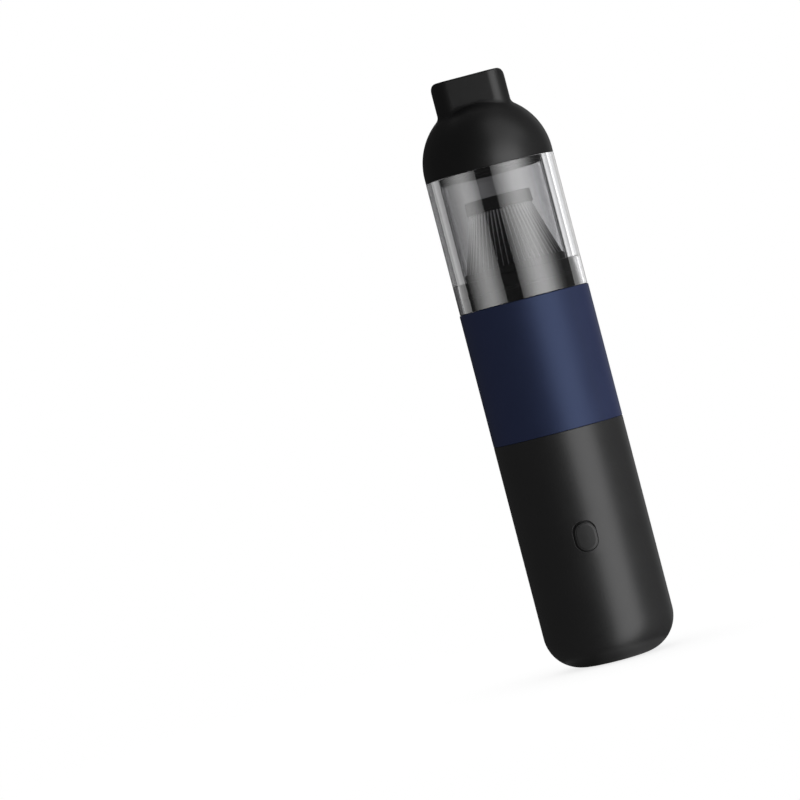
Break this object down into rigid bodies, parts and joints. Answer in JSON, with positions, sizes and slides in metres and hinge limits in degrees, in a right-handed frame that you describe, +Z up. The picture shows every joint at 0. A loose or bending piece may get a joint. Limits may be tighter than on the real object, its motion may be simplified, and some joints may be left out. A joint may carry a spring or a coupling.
{
  "type": "car vacuum cleaner",
  "caption": "Cordless bottle-shaped car vacuum cleaner with a domed suction nozzle, a clear dust cup over a pleated cone filter, and a rounded handle with a push button.",
  "frame": {"origin": "centre of the flat base that the cleaner stands on", "axes": "+Z up the body towards the suction mouth, -Y towards the power button, +X to the right of the button"},
  "size_m": [0.066, 0.066, 0.2986],
  "materials": {
    "black_satin": "satin",
    "navy_satin": "satin",
    "smoke_clear": "clear gloss",
    "button_black": "fine matte",
    "collar_black": "matte",
    "filter_plastic": "matte",
    "filter_paper": "fibrous",
    "inner_plastic": "matte",
    "seal_rubber": "matte",
    "steel": "brushed",
    "copper_alloy": "bright",
    "magnet_grey": "dull",
    "carbon": "dull",
    "cell_wrap": "satin film",
    "board_green": "solder mask",
    "chip_black": "matte",
    "lead_red": "satin",
    "lead_black": "satin"
  },
  "bodies": {
    "main_body": {"handle_shell": "black_satin", "blue_sleeve": "navy_satin", "motor_housing": "inner_plastic", "cup_collar": "collar_black", "collar_seal": "seal_rubber", "intake_guard": "collar_black", "fan_shroud": "inner_plastic", "motor_can": "steel", "motor_end_cap": "inner_plastic", "motor_magnets": "magnet_grey", "motor_brushes": "carbon", "motor_terminals": "copper_alloy", "front_bearing": "steel", "rear_bearing": "steel", "motor_damper": "seal_rubber", "battery_cradle": "inner_plastic", "battery_cells": "cell_wrap", "battery_tabs": "steel", "control_board": "board_green", "board_parts": "chip_black", "switch_body": "inner_plastic", "charge_board": "board_green", "usb_socket": "steel", "motor_leads": "lead_red", "battery_leads": "lead_red", "charge_leads": "lead_black", "collar_screws": "steel", "motor_screws": "steel", "board_screws": "steel"},
    "fan": {"motor_shaft": "steel", "armature": "steel", "armature_windings": "copper_alloy", "commutator": "copper_alloy", "impeller": "inner_plastic", "impeller_nut": "copper_alloy"},
    "button": {"power_button": "button_black", "switch_plunger": "steel"},
    "dust_cup": {"clear_cup": "smoke_clear", "front_dome": "black_satin", "dome_ring": "collar_black", "dome_seal": "seal_rubber", "flap_pin": "steel"},
    "flap": {"dust_flap": "seal_rubber"},
    "filter": {"filter_cap": "filter_plastic", "filter_pleats": "filter_paper", "filter_cage": "filter_plastic", "filter_base": "filter_plastic", "filter_gasket": "seal_rubber"}
  },
  "joints": [
    {"name": "fan_spin", "type": "hinge", "parent": "main_body", "child": "fan", "pos_m": [0, 0, 0.14], "axis": [0, 0, 1], "continuous": true},
    {"name": "button_press", "type": "slide", "parent": "main_body", "child": "button", "axis": [0, 1, 0], "range_m": [0, 0.0008], "stiffness_N_per_m": 400, "springref_m": -0.001},
    {"name": "cup_pull", "type": "slide", "parent": "main_body", "child": "dust_cup", "axis": [0, 0, 1], "range_m": [0, 0.062]},
    {"name": "flap_swing", "type": "hinge", "parent": "dust_cup", "child": "flap", "pos_m": [0, 0.0147, 0.2706], "axis": [1, 0, 0], "range_deg": [0, 55], "stiffness_Nm_per_rad": 0.002, "springref_deg": -17.19},
    {"name": "filter_lift", "type": "slide", "parent": "main_body", "child": "filter", "axis": [0, 0, 1], "range_m": [0, 0.01]}
  ]
}
